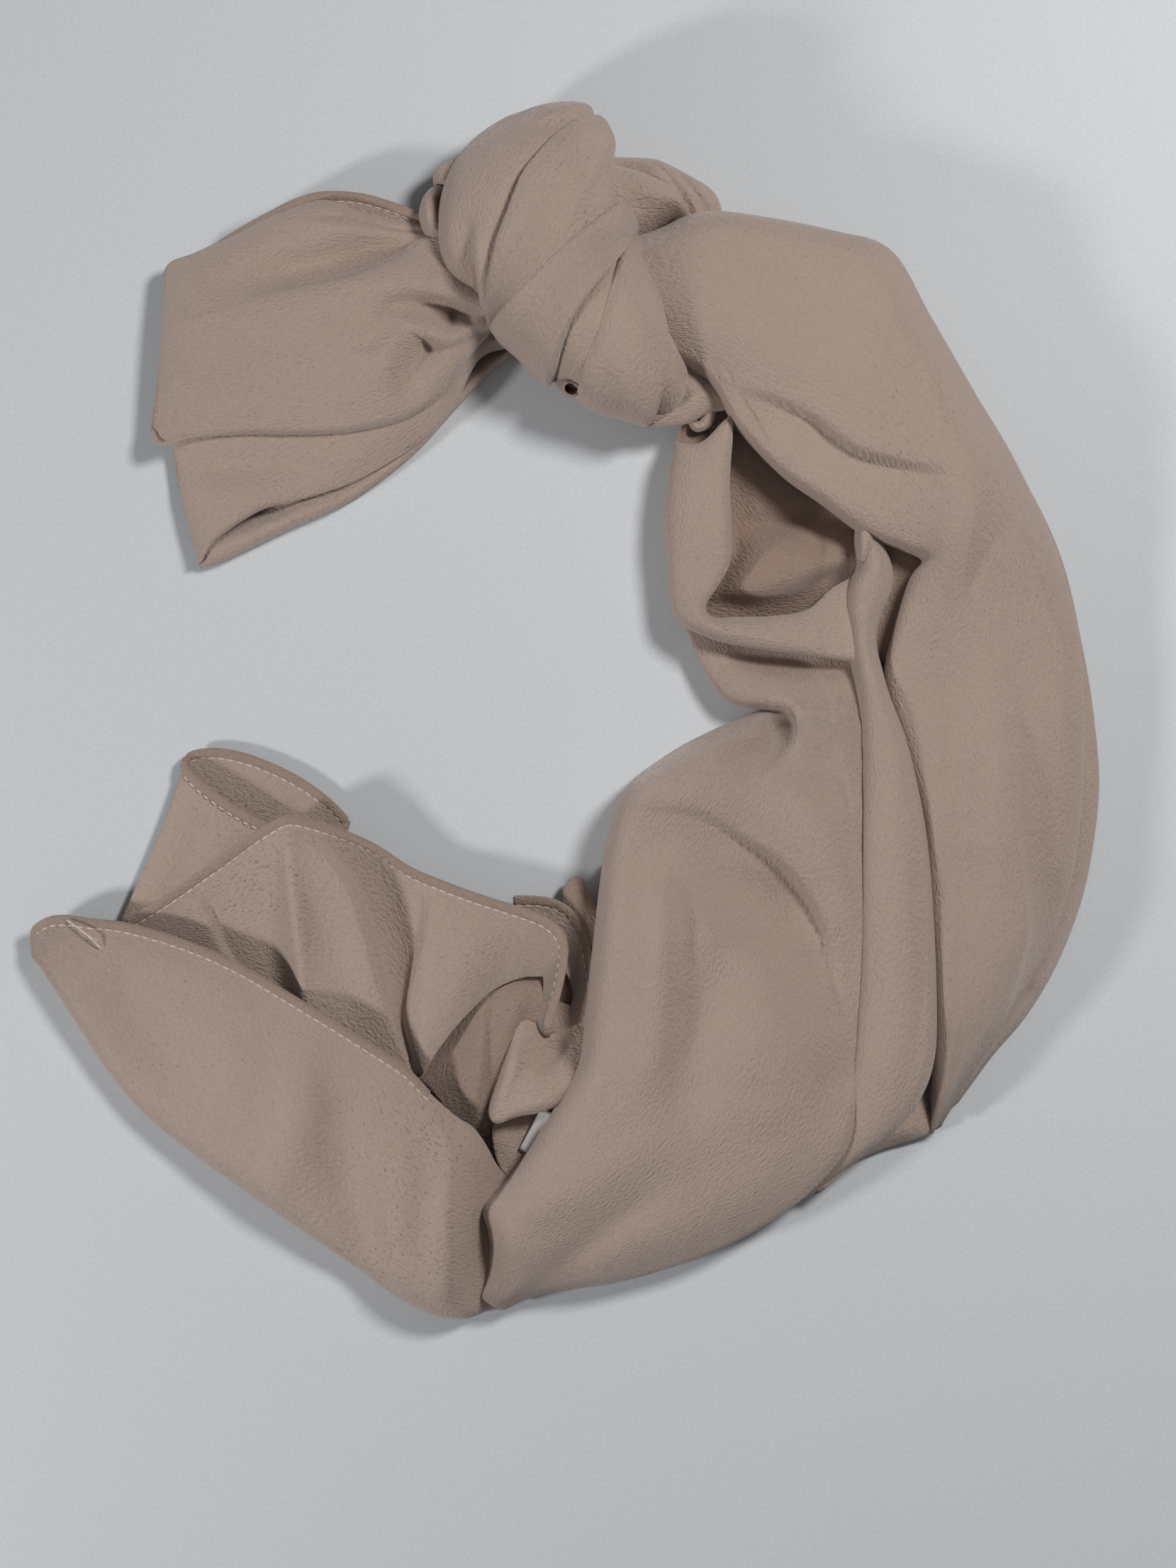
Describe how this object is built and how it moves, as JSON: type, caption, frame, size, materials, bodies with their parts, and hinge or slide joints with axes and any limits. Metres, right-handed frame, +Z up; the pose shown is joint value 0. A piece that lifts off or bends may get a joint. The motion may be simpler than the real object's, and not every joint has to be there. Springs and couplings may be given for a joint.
{
  "type": "knotted headband",
  "caption": "Soft crepe scarf headband tied in a fat pleated knot and laid down in a C, with a folded loop at one end and a hemmed tail at the other.",
  "frame": {"origin": "middle of the bounding box on the surface that the headband lies on", "axes": "+Z up from the surface, +Y from the tail towards the knot, +X towards the outside of the C's back"},
  "size_m": [0.3354, 0.3803, 0.05],
  "materials": {
    "cloth": "taupe crepe chiffon, pebbled fine grain, soft sheen",
    "thread": "matte polyester sewing thread, a little paler than the cloth",
    "label": "blank white satin ribbon"
  },
  "bodies": {
    "root": {"knot_core": "cloth", "tail_gather": "cloth", "wrap_pleat_1": "cloth", "wrap_pleat_2": "cloth", "wrap_pleat_3": "cloth", "wrap_pleat_4": "cloth", "wrap_pleat_5": "cloth", "knot_collar": "cloth", "knot_back_turn": "cloth", "knot_lower_tuck": "cloth", "band_under_layer": "cloth", "band_upper_layer": "cloth", "band_lower_layer": "cloth", "band_corner_tuck": "cloth", "inner_pleat": "cloth", "side_roll": "cloth", "cross_fold": "cloth", "pocket_layer": "cloth", "inner_turn": "cloth", "belly_drape": "cloth", "tail_back_fold": "cloth", "tail_back_hem": "cloth", "tail_back_hem_thread": "thread", "tail_middle_fold": "cloth", "tail_middle_hem": "cloth", "tail_middle_hem_thread": "thread", "tail_left_tuck": "cloth", "tail_right_tuck": "cloth", "tail_under_layer": "cloth", "tail_flap": "cloth", "tail_flap_hem": "cloth", "tail_flap_hem_thread": "thread", "label_seam_thread": "thread"},
    "left_loop": {"loop_gather": "cloth", "loop_under_layer": "cloth", "loop_middle_layer": "cloth", "loop_upper_layer": "cloth", "loop_hem": "cloth", "loop_hem_thread": "thread"},
    "tail_tip": {"tip_under_layer": "cloth", "tip_upper_layer": "cloth", "tip_hem": "cloth", "tip_hem_thread": "thread", "thread_end": "thread"},
    "care_label": {"care_label": "label"}
  },
  "joints": [
    {"name": "left_loop_swing", "type": "hinge", "parent": "root", "child": "left_loop", "pos_m": [-0.053, 0.136, 0], "axis": [0, 0, 1], "range_deg": [-18, 18]},
    {"name": "tail_tip_fold", "type": "hinge", "parent": "root", "child": "tail_tip", "pos_m": [-0.127, -0.094, 0.0124], "axis": [0.6157, 0.788, 0], "range_deg": [0, 120]},
    {"name": "care_label_lift", "type": "hinge", "parent": "root", "child": "care_label", "pos_m": [0.008, -0.141, 0.0064], "axis": [0.4695, 0.8829, 0], "range_deg": [0, 10]}
  ]
}
